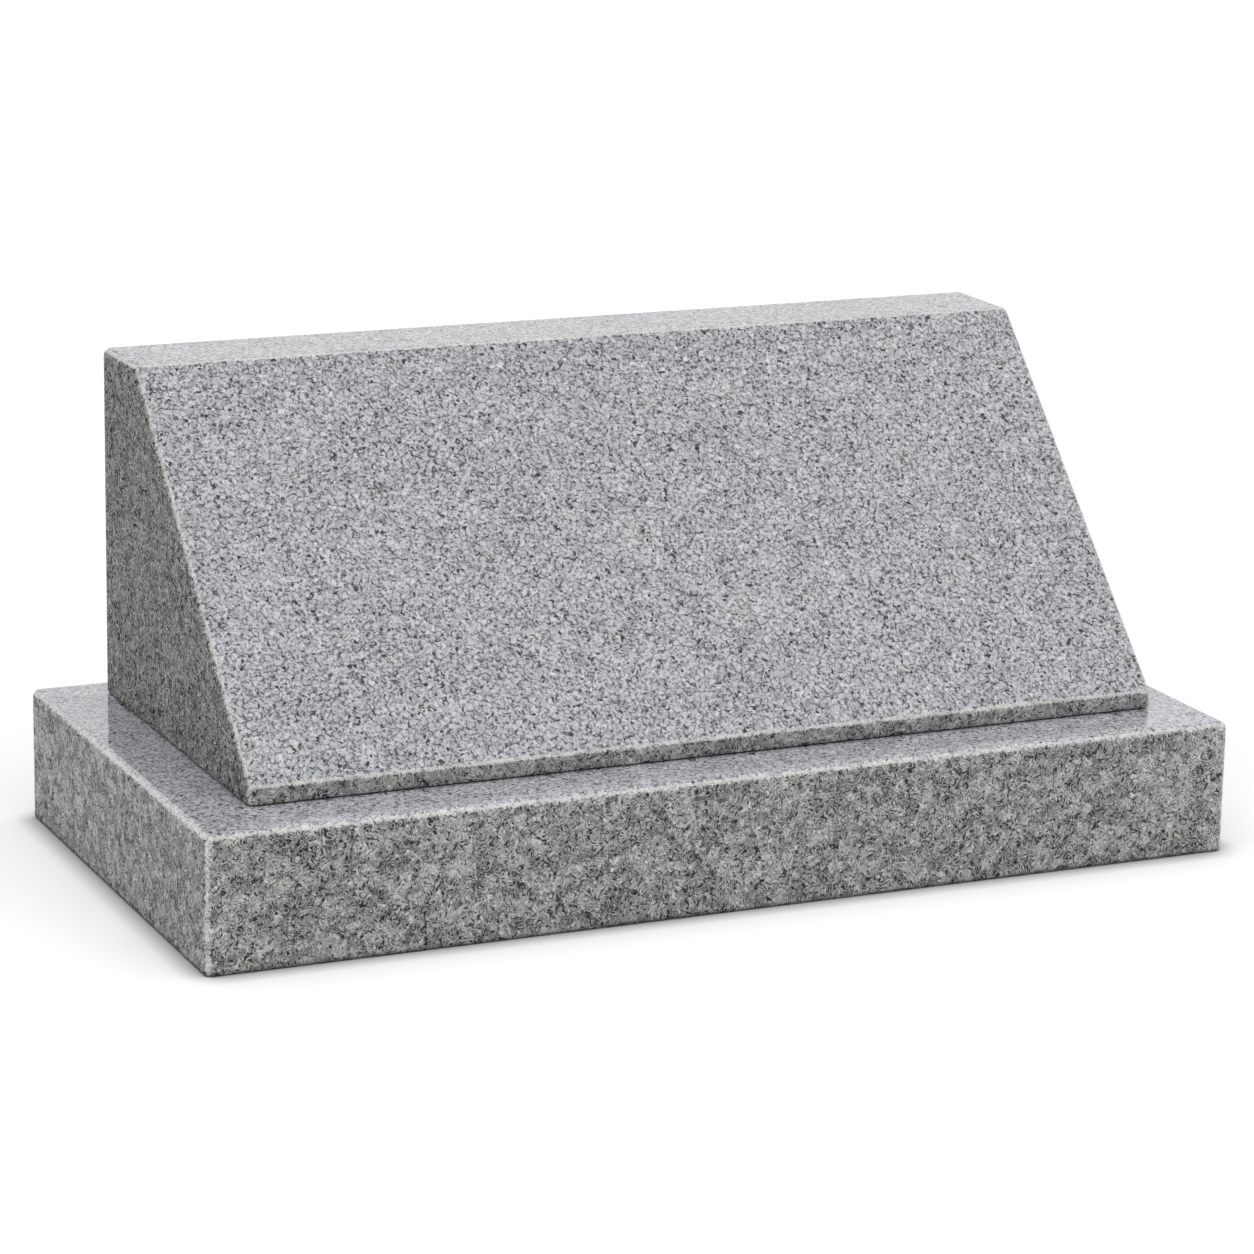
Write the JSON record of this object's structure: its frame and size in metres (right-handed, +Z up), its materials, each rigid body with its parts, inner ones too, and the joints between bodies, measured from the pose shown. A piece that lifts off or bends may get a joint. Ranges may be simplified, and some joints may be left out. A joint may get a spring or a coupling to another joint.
{
  "type": "granite slant marker",
  "caption": "Grave marker: a slant-faced granite stone with a blank sloping face, bedded on a longer rectangular base stone with eased edges.",
  "frame": {"origin": "middle of the base stone's underside, on the ground", "axes": "+X along the length, to the right as the sloping face is read; -Y is the front; +Z is up"},
  "size_m": [0.8128, 0.4064, 0.3678],
  "materials": {
    "base_granite": "grey granite, polished top, steeled sides, eased edges",
    "slant_granite": "light grey granite, polished face and top, steeled ends, eased edges",
    "setting_compound": "matt dark grey putty"
  },
  "bodies": {
    "root": {"base": "base_granite", "setting_bed": "setting_compound", "slant": "slant_granite"}
  },
  "joints": []
}
